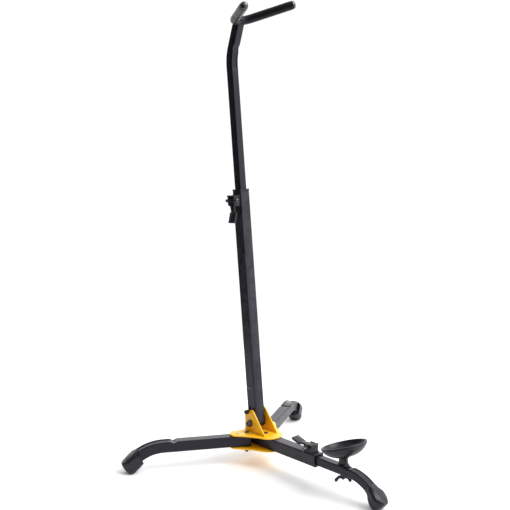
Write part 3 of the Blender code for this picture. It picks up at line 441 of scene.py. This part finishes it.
# side legs
for word in ("left", "right"):
    mark = pressMark(tubes["sideBend"] - 0.0245, tubes["sideBend"] + 0.075, 1, 1.0)
    mesh = squareTube(legStations(tubes["sideStart"], tubes["sideBend"]), tubes["side"], mark)
    for turn in (1, -1):  # the inner end's two upright edges are cut off at 45 degrees
        diagonal = 0.040
        corner = Vector((tubes["sideStart"], turn * tubes["side"] / 2, 0))
        away = Vector((-1, turn, 0)).normalized()
        tool = pill((diagonal,) * 3, Vector())
        reach = away * (diagonal / 2 - tubes["chamfer"] / math.sqrt(2))
        place = Matrix.Translation(corner + reach) @ Matrix.Rotation(math.pi / 4, 4, "Z")
        mesh = carve(mesh, shift(tool, place))
    low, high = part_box(word + "_leg_button")  # the tube's top wall is open under the button
    button = legFrame[word].inverted() @ ((low + high) / 2)
    top = tubes["side"] / 2
    hole = lathe([(tubes["buttonHole"], top - 0.004), (tubes["buttonHole"], top + 0.002)], 36)
    mesh = carve(mesh, shift(hole, Matrix.Translation((button.x, button.y, 0))))
    addPiece(word + "LegTube", shift(mesh, legFrame[word]), word + "_leg")

# front leg: fixed outer tube, sliding inner one
level = Vector((0, 1, 0)), Vector((0, 0, 1))
outerRun = [(Vector((x, 0, 0)), *level, x) for x in (tubes["frontStart"], tubes["frontEnd"])]
addPiece("frontOuterTube", shift(squareTube(outerRun, tubes["outer"]), frontFrame), "front_leg_outer")
mark = pressMark(tubes["frontBend"] - 0.002, tubes["frontBend"] + 0.070, 1, 0.6)
mesh = squareTube(legStations(tubes["frontInnerStart"], tubes["frontBend"]), tubes["inner"], mark)
addPiece("frontInnerTube", shift(mesh, frontFrame), "front_leg_inner")
print("legs formed")

# mast: outer tube with a rounded foot and a slot for the lock pin, inner tube bent forward
lock = {"pin": Vector((-0.006, 0.0, 0.027)), "radius": 0.0025, "lift": 0.009, "knob": 0.0090,
        "knobRadius": 0.005, "outside": 0.0211}
mastRun = [(Vector((0, 0, z)), Vector((1, 0, 0)), Vector((0, 1, 0)), z)
           for z in (-tubes["outer"] / 2, tubes["mastEnd"])]
mesh = squareTube(mastRun, tubes["outer"])
upright = Matrix.Rotation(math.pi / 2, 4, "X")
roundEnd = shift(lathe([(tubes["outer"] / 2, -0.03), (tubes["outer"] / 2, 0.03)], 64), upright)
mesh = carve(mesh, carve(pill((0.04, 0.04, 0.02), Vector((0, 0, -0.01))), roundEnd))
slotR = lock["radius"] + gap
slotShape = [(lock["pin"].x + slotR * math.cos(a), -(z + slotR * math.sin(a)))
             for z, begin in ((lock["pin"].z + lock["lift"], 0.0), (lock["pin"].z, math.pi))
             for a in (begin + math.pi * k / 10 for k in range(11))]
mesh = carve(mesh, shift(prism(slotShape, -0.02, 0.02), Matrix.Rotation(-math.pi / 2, 4, "X")))
addPiece("mastOuterTube", shift(mesh, mastFrame), "mast_outer")


def mastStations():
    # upright tube, a bend forwards, then a straight end
    across, ahead = Vector((0, 1, 0)), Vector((1, 0, 0))
    bend, radius, last = tubes["mastBendStart"], tubes["bendRadius"], tubes["mastLast"]
    made = straight(tubes["mastInnerStart"], bend - 0.02, 3, lambda s: Vector((0, 0, s)), across, ahead)
    made += straight(bend - 0.02, bend, 10, lambda s: Vector((0, 0, s)), across, ahead)
    for step in range(tubes["bendSteps"] + 1):
        angle = tubes["mastBend"] * step / tubes["bendSteps"]
        out = Vector((-math.cos(angle), 0, math.sin(angle)))
        made.append((Vector((radius, 0, bend)) + out * radius, across, -out, bend + radius * angle))
    centre, _, ahead, along = made[-1]
    forward = Vector((math.sin(tubes["mastBend"]), 0, math.cos(tubes["mastBend"])))
    steps = 24
    made += [(centre + forward * last * k / steps, across, ahead, along + last * k / steps)
             for k in range(1, steps + 1)]
    return made


# yoke: bent foam sleeve with a glossy cap at each tip
yoke = {"sleeve": 0.010, "bore": 0.0043, "bow": 0.029, "spread": math.radians(29.1), "prong": 0.1016,
        "seat": 0.0048, "rise": math.radians(11.5), "roll": math.radians(3.0), "sides": 32,
        "uneven": 0.00022}
forward = Vector((math.sin(tubes["mastBend"]), 0, math.cos(tubes["mastBend"])))
bendOut = Vector((-math.cos(tubes["mastBend"]), 0, math.sin(tubes["mastBend"])))
bendCentre = Vector((tubes["bendRadius"], 0, tubes["mastBendStart"]))
tubeTip = bendCentre + bendOut * tubes["bendRadius"] + forward * tubes["mastLast"]
saddle = tubeTip + forward * yoke["seat"]
yokeFrame = (mastFrame @ Matrix.Translation(saddle) @ Matrix.Rotation(-yoke["rise"], 4, "Y")
             @ Matrix.Rotation(yoke["roll"], 4, "X"))


def yokeLine(bowSteps=22, prongSteps=26):
    turn = math.pi / 2 - yoke["spread"]
    half = [Vector((yoke["bow"] * (1 - math.cos(turn * k / bowSteps)),
                    yoke["bow"] * math.sin(turn * k / bowSteps), 0)) for k in range(bowSteps + 1)]
    aim = Vector((math.sin(turn), math.cos(turn), 0))
    last = half[-1]
    half += [last + aim * yoke["prong"] * k / prongSteps for k in range(1, prongSteps + 1)]
    return [Vector((p.x, -p.y, 0)) for p in half[:0:-1]] + half, half[-1], aim


# the tube's end is saddled to take the sleeve
mark = pressMark(tubes["mastBendStart"] + 0.044, tubes["mastBendStart"] - 0.012, 1, 0.7)
seatSides, seatReach = 32, 0.02
seatRays = [Vector((math.cos(math.tau * k / seatSides), 0, math.sin(math.tau * k / seatSides)))
            for k in range(seatSides)]
seatTool = skin([[centre + ray * (yoke["sleeve"] + gap) for ray in seatRays]
                 for centre in yokeLine()[0] if abs(centre.y) < seatReach])
mesh = carve(squareTube(mastStations(), tubes["inner"], mark),
             shift(seatTool, mastFrame.inverted() @ yokeFrame))
addPiece("mastInnerTube", shift(mesh, mastFrame), "mast_inner")
print("mast formed")

# feet: rubber boots, scooped on top and hollowed at the sides, flat underneath
boot = {
    # toe-ward and height of the top line, the same of the bottom line, half width, in millimetres
    "side": ((4.3, 14.0, -9.4, -19.0, 17.5), (14.0, 10.5, -3.0, -27.0, 19.5),
             (23.0, 5.5, 5.0, -34.5, 20.5), (30.0, 0.0, 13.5, -42.0, 19.5),
             (36.0, -7.0, 22.5, -42.0, 16.5), (39.8, -13.0, 32.0, -34.0, 12.0),
             (41.4, -17.0, 38.0, -25.0, 6.0)),
    "front": ((13.3, 5.6, -0.1, -14.6, 12.2), (19.8, 2.6, 3.0, -23.0, 16.5),
              (27.0, -1.5, 9.0, -32.0, 20.0), (34.0, -7.0, 17.0, -42.0, 20.0),
              (40.0, -12.5, 26.0, -42.0, 17.0), (44.5, -17.5, 36.0, -36.0, 12.0),
              (47.0, -21.0, 44.0, -27.0, 6.0)),
    "around": 72, "along": 44,
    "lip": 0.0011, "scoop": 0.0030, "lens": 0.0019,
}


def ribAt(ribs, t):
    place = min(t * (len(ribs) - 1), len(ribs) - 1 - 1e-9)
    index = int(place)
    u = place - index
    four = [ribs[min(max(index + k, 0), len(ribs) - 1)] for k in (-1, 0, 1, 2)]
    return [0.5 * (2 * b + (c - a) * u + (2 * a - 5 * b + 4 * c - d) * u * u
                   + (3 * b - a - 3 * c + d) * u ** 3) for a, b, c, d in zip(*four)]


def hollow(u, v, crisp):
    # a dished patch with a clear border
    r = math.hypot(u, v)
    if r >= 1:
        return 0.0
    rim = min(1.0, (1 - r) / crisp)
    return 0.45 * rim * rim * (3 - 2 * rim) + 0.55 * (1 - r * r)


def bootMesh(matrix, bend, tube, ribs):
    turn = tubes["legBend"]
    start = Vector((bend + math.sin(turn) * tubes["bendRadius"], 0,
                    (math.cos(turn) - 1) * tubes["bendRadius"]))
    forward = Vector((math.cos(turn), 0, -math.sin(turn)))
    up = Vector((math.sin(turn), 0, math.cos(turn)))
    around = boot["around"]
    angles = [math.tau * (k + 0.5) / around for k in range(around)]
    rings = []
    half = tube / 2 + gap
    for depth in (tubes["tail"] + gap, 0.0):
        ring = []
        for angle in angles:
            c, s = math.cos(angle), math.sin(angle)
            ring.append(start + forward * depth
                        + Vector((0, math.copysign(abs(c) ** 0.22, c) * half, 0))
                        + up * math.copysign(abs(s) ** 0.22, s) * half)
        rings.append(ring)
    for step in range(boot["along"] + 1):
        t = step / boot["along"]
        topX, topZ, lowX, lowZ, wide = ribAt(ribs, t)
        top, low = Vector((topX, 0, topZ)), Vector((lowX, 0, lowZ))
        middle, rise = (top + low) * 0.0005, (top - low) * 0.0005
        ring = []
        for angle in angles:
            c, s = math.cos(angle), math.sin(angle)
            power = 0.72 + 0.16 * t
            out = Vector((0, math.copysign(abs(c) ** power, c) * wide * 0.001, 0)) \
                + rise * math.copysign(abs(s) ** power, s)
            away = out.normalized()
            press = boot["scoop"] * hollow((t - 0.50) / 0.38, (angle - math.pi / 2) / 0.80, 0.22)
            for side in (angle, math.pi - angle):
                lean = (side + math.pi) % math.tau - math.pi
                press += boot["lens"] * hollow((t - 0.40) / 0.34, (lean + 0.05) / 0.42, 0.25)
            bead = boot["lip"] * math.exp(-(t / 0.055) ** 2)
            point = start + middle + out - away * press + away * bead
            point.z = max(point.z, -legHeight)
            ring.append(point)
        rings.append(ring)
    return shift(skin(rings), matrix)


for word in ("left", "right"):
    addPiece(word + "FootBoot", bootMesh(legFrame[word], tubes["sideBend"], tubes["side"], boot["side"]),
             word + "_foot", smooth=32)
addPiece("frontFootBoot", bootMesh(frontFrame, tubes["frontBend"], tubes["inner"], boot["front"]),
         "front_foot", smooth=32)
print("feet moulded")

def sleeveMesh():
    line, _, _ = yokeLine()
    sides = yoke["sides"]
    rings = {"skin": [], "bore": []}
    for index, centre in enumerate(line):
        along = (line[min(index + 1, len(line) - 1)] - line[max(index - 1, 0)]).normalized()
        out = along.cross(Vector((0, 0, 1)))
        fromTip = min(index, len(line) - 1 - index)
        roundOff = 0.0012 * math.exp(-fromTip * 1.1)
        ring, bore = [], []
        for k in range(sides):
            angle = math.tau * k / sides
            ray = out * math.cos(angle) + Vector((0, 0, math.sin(angle)))
            wobble = noise.noise((centre + ray * yoke["sleeve"]) * 90) * yoke["uneven"]
            ring.append(centre + ray * (yoke["sleeve"] - roundOff - abs(wobble)))
            bore.append(centre + ray * yoke["bore"])
        rings["skin"].append(ring)
        rings["bore"].append(bore)
    return skin(rings["skin"] + rings["bore"][::-1], loop=True)


stemTurn = (Matrix.Rotation(-yoke["roll"], 4, "X")
            @ Matrix.Rotation(yoke["rise"] + tubes["mastBend"], 4, "Y"))
stemHole = lathe([(0.0058, -0.020), (0.0058, 0.0)], 24)
sleeve = addPiece("yokeSleeve", shift(carve(sleeveMesh(), shift(stemHole, stemTurn)), yokeFrame),
                  "yoke_sleeve", smooth=60)
_, yokeTip, yokeAim = yokeLine()
capShape = [(0.0001, gap), (0.0082, gap), (0.0088, 0.0008), (0.0088, 0.0014), (0.0082, 0.0022),
            (0.0066, 0.0036), (0.0042, 0.0046), (0.0018, 0.0051), (0.0001, 0.0052)]
for side, word in ((1, "left"), (-1, "right")):
    aim = Vector((yokeAim.x, side * yokeAim.y, 0)).to_track_quat("Z", "Y").to_matrix().to_4x4()
    place = Matrix.Translation((yokeTip.x, side * yokeTip.y, 0)) @ aim
    addPiece(word + "YokeCap", shift(lathe(roundProfile(capShape, 3, 0.3), 40), yokeFrame @ place),
             "yoke_cap_" + word, smooth=50)
print("yoke covered")

# cup: tilted dish on a waisted post
dish = {"x": 0.2625, "rim": Vector((0.2630, 0.0, 0.1160)), "tilt": math.radians(17.3),
        "radius": 0.0515, "depth": 0.0285, "wall": 0.003, "sides": 80}


def cupMesh():
    r, d, w = dish["radius"], dish["depth"], dish["wall"]
    rim = dish["rim"] - Vector((dish["x"], 0, legHeight))
    outline = [(0.0002, -d), (0.014, -d + 0.0006), (0.026, -d + 0.0034), (0.036, -d + 0.0080),
               (0.044, -d + 0.0142), (0.0489, -d + 0.0206), (0.0508, -0.0048), (0.0503, -0.0042),
               (0.0512, -0.0034), (r, -0.0018), (r - 0.0006, -0.0003), (r - 0.0020, 0.0),
               (r - 0.0033, -0.0007), (r - 0.0040, -0.0020), (0.0445, -0.0085), (0.0395, -0.0138),
               (0.0315, -0.0195), (0.0220, -0.0235), (0.0120, -d + w + 0.0005), (0.0002, -d + w)]
    bowl = shift(lathe(roundProfile(outline, 2, 0.3), dish["sides"]),
                 Matrix.Translation(rim) @ Matrix.Rotation(-dish["tilt"], 4, "Y"))
    low, tall = tubes["inner"] / 2 + gap, rim.z - d + 0.0010
    post = [(0.0002, low), (0.0131, low), (0.0135, low + 0.0005), (0.0131, low + 0.0022),
            (0.0112, low + 0.0036), (0.0103, low + 0.0060), (0.0101, tall - 0.010), (0.0104, tall - 0.006),
            (0.0120, tall - 0.0025), (0.0152, tall + 0.0012), (0.0002, tall + 0.0014)]
    stem = lathe(roundProfile(post, 3, 0.3), 56)
    cup = carve(bowl, stem, "UNION")
    bore = lathe([(0.0033, low - 0.01), (0.0033, tall - 0.005)], 24)
    return shift(carve(cup, bore), frontFrame @ Matrix.Translation((dish["x"], 0, 0)))


addPiece("cupDish", cupMesh(), "cup", smooth=34)
print("cup turned")


# bolts: domed heads with a hexagon socket, shank below
def boltMesh(radius, height, shank, length, socket, deep):
    dome = [(0.0002, height), (radius * 0.35, height * 0.97), (radius * 0.62, height * 0.84),
            (radius * 0.84, height * 0.58), (radius * 0.96, height * 0.28), (radius, height * 0.1),
            (radius * 0.985, 0.0), (shank, 0.0), (shank, -length + 0.0004), (shank - 0.0004, -length),
            (0.0002, -length)]
    mesh = lathe(dome, 36)
    return carve(mesh, prism(hexagon(socket), height - deep, height + 0.002))


def nutMesh(node, acrossFlats, hole, along):
    # chamfered hexagon, as long as the CAD nut along its axis
    low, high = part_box(node)
    tall = (high - low)[along]
    mesh = prism(hexagon(acrossFlats), -tall / 2, tall / 2)
    reach = acrossFlats / math.sqrt(3)
    cone = [(reach * 0.90, -tall / 2), (reach * 1.01, -tall / 2 + reach * 0.08),
            (reach * 1.01, tall / 2 - reach * 0.08), (reach * 0.90, tall / 2)]
    mesh = carve(mesh, lathe(cone, 48), "INTERSECT")
    mesh = carve(mesh, lathe([(hole, -tall), (hole, tall)], 28))
    return mesh, (low + high) / 2


# upright bolts: node, head radius, shank radius, socket across flats
uprightBolt = {"head": 0.0022, "socketDepth": 0.0014}
boltPlaces = (("left_leg_bolt", 0.0054, 0.0040, 0.0050), ("right_leg_bolt", 0.0054, 0.0040, 0.0050),
              ("front_leg_bolt_rear", 0.0052, 0.0030, 0.0040),
              ("front_leg_bolt_front", 0.0052, 0.0030, 0.0040))
for node, radius, shank, socket in boltPlaces:
    low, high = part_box(node)
    base = Vector(((low.x + high.x) / 2, (low.y + high.y) / 2, high.z - uprightBolt["head"]))
    mesh = boltMesh(radius, uprightBolt["head"], shank, base.z - low.z, socket, uprightBolt["socketDepth"])
    addPiece(pieceName(node), shift(mesh, Matrix.Translation(base)), node)
for node, flats, hole in (("left_leg_nut", 0.013, 0.0043), ("right_leg_nut", 0.013, 0.0043),
                          ("front_leg_nut_rear", 0.010, 0.0033), ("front_leg_nut_front", 0.010, 0.0033)):
    mesh, centre = nutMesh(node, flats, hole, 2)
    addPiece(pieceName(node), shift(mesh, Matrix.Translation(centre)), node)

# mast pivot: domed head on the left ear, cap nut on the right one
pivot = {"head": 0.0045, "radius": 0.0072, "shank": 0.004, "face": 0.0211}
toLeft, toRight = Matrix.Rotation(-math.pi / 2, 4, "X"), Matrix.Rotation(math.pi / 2, 4, "X")
mesh = boltMesh(pivot["radius"], pivot["head"], pivot["shank"], 2 * pivot["face"] + 0.0065, 0.006, 0.003)
place = Matrix.Translation(mastPivot + Vector((0, pivot["face"], 0))) @ toLeft
addPiece("mastPivotBolt", shift(mesh, place), "mast_pivot_bolt")
capNut = [(0.0043, 0.0), (0.0076, 0.0), (0.0079, 0.0003), (0.0079, 0.0042), (0.0074, 0.0048),
          (0.0068, 0.0052), (0.0067, 0.0068), (0.0060, 0.0090), (0.0048, 0.0105), (0.0028, 0.0114),
          (0.0001, 0.0118), (0.0001, 0.0075), (0.0043, 0.0075)]
place = Matrix.Translation(mastPivot - Vector((0, pivot["face"], 0))) @ toRight
addPiece("mastPivotCapNut", shift(lathe(capNut, 40, loop=True), place), "mast_pivot_cap_nut", smooth=30)

# lock pin with a turned knob at each end
knobEnd = lock["outside"] + lock["knob"]
pinFrame = mastFrame @ Matrix.Translation(lock["pin"])


def knobOutline(inner, start, end):
    r = lock["knobRadius"]
    middle = (start + end) / 2
    return [(inner, start), (r - 0.0006, start), (r, start + 0.0006), (r, middle - 0.0012),
            (r - 0.0006, middle - 0.0007), (r - 0.0006, middle + 0.0007), (r, middle + 0.0012),
            (r, end - 0.0010), (r - 0.0010, end - 0.0002), (inner + (r - inner) * 0.4, end)]


shaft = [(0.0001, knobEnd)] + knobOutline(lock["radius"], lock["outside"], knobEnd)[::-1]
shaft += [(lock["radius"], -knobEnd + 0.0003), (lock["radius"] - 0.0004, -knobEnd), (0.0001, -knobEnd)]
addPiece("lockPin", shift(lathe(shaft, 36), pinFrame @ toLeft), "lock_pin")
knob = knobOutline(lock["radius"] + gap, lock["outside"], knobEnd - 0.0004)
knob[-1] = (lock["radius"] + gap, knobEnd - 0.0004)
addPiece("lockPinKnob", shift(lathe(knob, 36, loop=True), pinFrame @ toRight), "lock_pin_knob")

# push buttons in the hub's side lobes
for word in ("left", "right"):
    low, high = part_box(word + "_leg_button")
    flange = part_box("hub_top_plate")[0].z - gap
    shape = [(0.0001, low.z), (0.0040, low.z), (0.0042, low.z + 0.0002), (0.0042, flange), (0.0030, flange),
             (0.0030, high.z - 0.0013), (0.0027, high.z - 0.0006), (0.0019, high.z - 0.0002),
             (0.0001, high.z)]
    centre = (low + high) / 2
    mesh = shift(lathe(shape, 36), Matrix.Translation((centre.x, centre.y, 0)))
    addPiece(word + "LegButton", mesh, word + "_leg_button")
print("bolts, pin and buttons set")

# lever clamps' pivot bolts and their sleeve nuts, each in its own clamp frame
clamp = {"back": 0.021, "half": 0.011, "height": 0.010, "head": 0.0035, "radius": 0.0060, "shank": 0.0025,
         "length": 0.0281, "headSide": {"mast": 1, "front": -1}}
facing = Matrix(((0, 1, 0, 0), (0, 0, -1, 0), (-1, 0, 0, 0), (0, 0, 0, 1)))
clampFrames = {
    "mast": mastFrame
    @ Matrix.Translation((0, -tubes["outer"] / 2, tubes["mastEnd"] - clamp["back"])) @ facing,
    "front": frontFrame @ Matrix.Translation((tubes["frontEnd"] - clamp["back"], 0, tubes["outer"] / 2))
    @ Matrix.Rotation(math.pi, 4, "Z"),
}
sleeveNut = [(0.0028, 0.0), (0.0060, 0.0), (0.0062, 0.0002), (0.0062, 0.0014), (0.0058, 0.0020),
             (0.0042, 0.0024), (0.0042, 0.0128), (0.0038, 0.0136), (0.0030, 0.0142), (0.0001, 0.0145),
             (0.0001, 0.0105), (0.0028, 0.0105)]
for word, base in clampFrames.items():
    side = clamp["headSide"][word]
    ways = (toLeft, toRight) if side > 0 else (toRight, toLeft)
    pin = boltMesh(clamp["radius"], clamp["head"], clamp["shank"], clamp["length"], 0.005, 0.0024)
    place = base @ Matrix.Translation((0, side * (clamp["half"] + gap), clamp["height"])) @ ways[0]
    addPiece(word + "ClampPivot", shift(pin, place), word + "_clamp_pivot")
    nut = lathe(sleeveNut, 40, loop=True)
    place = base @ Matrix.Translation((0, -side * (clamp["half"] + gap), clamp["height"])) @ ways[1]
    addPiece(word + "ClampNut", shift(nut, place), word + "_clamp_nut", smooth=30)

# pieces whose CAD shape is right get rounded edges: node, edge width, edge segments
eased = (("hub_top_plate", 0.0005, 2), ("hub_bottom_plate", 0.0005, 2), ("mast_ear_left", 0.0005, 2),
         ("mast_ear_right", 0.0005, 2),
         ("mast_collar", 0.0006, 2), ("front_leg_collar", 0.0006, 2),
         ("mast_clamp_bracket", 0.0005, 2), ("front_clamp_bracket", 0.0005, 2),
         ("mast_clamp_lever", 0.0006, 2), ("front_clamp_lever", 0.0006, 2),
         ("cup_wing_nut", 0.0006, 2), ("cup_washer", 0.0002, 1),
         ("lock_spring_screw", 0.0002, 1), ("lock_spring_nut", 0.0002, 1))
for node, width, segments in eased:
    addPiece(pieceName(node), soften(fromNode(node), width, segments), node)
print("hub and clamps finished")

# floor, light, camera
studio = {
    "floor": (0.92, 0.92, 0.925), "floorRadius": 1.1,
    "sky": 1.05, "dim": 0.03, "bright": 1.8, "above": 0.75,
    "sun": 2.0, "sunFrom": (0.75, 0.35, 0.9), "sunWidth": 40,
    "camera": (1.58819, -1.57536, 0.92467), "tilt": 79.543, "turn": 47.085,
    "lens": 72.8, "shift": (-0.0120, -0.0010),
}
floorMesh = bmesh.new()
bmesh.ops.create_circle(floorMesh, cap_ends=True, radius=studio["floorRadius"], segments=64)
floorData = bpy.data.meshes.new("floor")
floorMesh.to_mesh(floorData)
floorMesh.free()
floor = bpy.data.objects.new("floor", floorData)
bpy.context.scene.collection.objects.link(floor)
floor.location.z = -0.0004
floorPaint, tree, shader, place = startMaterial("floorPaper", studio["floor"], 0.0, 0.9)
tree.links.new(blendColours(tree, grain(tree, place, 6.0), (0.91, 0.91, 0.915), (0.93, 0.93, 0.935)),
               shader.inputs["Base Color"])
floorData.materials.append(floorPaint)

world = bpy.data.worlds.new("studio")
bpy.context.scene.world = world
world.use_nodes = True
tree = world.node_tree
# dim on one side, bright on the other and overhead, plain where the camera sees it
direction = tree.nodes.new("ShaderNodeTexCoord").outputs["Generated"]
split = tree.nodes.new("ShaderNodeSeparateXYZ")
tree.links.new(direction, split.inputs[0])
side = spread(tree, split.outputs[1], -0.65, 0.35, studio["dim"], studio["bright"])
above = spread(tree, split.outputs[2], 0.25, 0.95, 0.0, studio["above"])
strength = tree.nodes.new("ShaderNodeMath")
strength.operation = "MAXIMUM"
tree.links.new(side, strength.inputs[0])
tree.links.new(above, strength.inputs[1])
tree.links.new(strength.outputs[0], tree.nodes["Background"].inputs["Strength"])
tree.nodes["Background"].inputs["Color"].default_value = (1, 1, 1, 1)
seen = tree.nodes.new("ShaderNodeBackground")
seen.inputs["Strength"].default_value = studio["sky"]
seen.inputs["Color"].default_value = (1, 1, 1, 1)
path = tree.nodes.new("ShaderNodeLightPath")
mix = tree.nodes.new("ShaderNodeMixShader")
tree.links.new(path.outputs["Is Camera Ray"], mix.inputs[0])
tree.links.new(tree.nodes["Background"].outputs[0], mix.inputs[1])
tree.links.new(seen.outputs[0], mix.inputs[2])
tree.links.new(mix.outputs[0], tree.nodes["World Output"].inputs["Surface"])

sunData = bpy.data.lights.new("softSun", "SUN")
sunData.energy = studio["sun"]
sunData.angle = math.radians(studio["sunWidth"])
sun = bpy.data.objects.new("softSun", sunData)
sun.rotation_euler = Vector(studio["sunFrom"]).to_track_quat("Z", "Y").to_euler()
bpy.context.scene.collection.objects.link(sun)
bpy.context.scene.view_settings.view_transform = "Standard"

lens = bpy.data.cameras.new("camera")
lens.sensor_width = 36
lens.lens = studio["lens"]
lens.shift_x, lens.shift_y = studio["shift"]
camera = bpy.data.objects.new("camera", lens)
camera.location = studio["camera"]
camera.rotation_euler = (math.radians(studio["tilt"]), 0, math.radians(studio["turn"]))
bpy.context.scene.collection.objects.link(camera)
bpy.context.scene.camera = camera
print("studio lit")
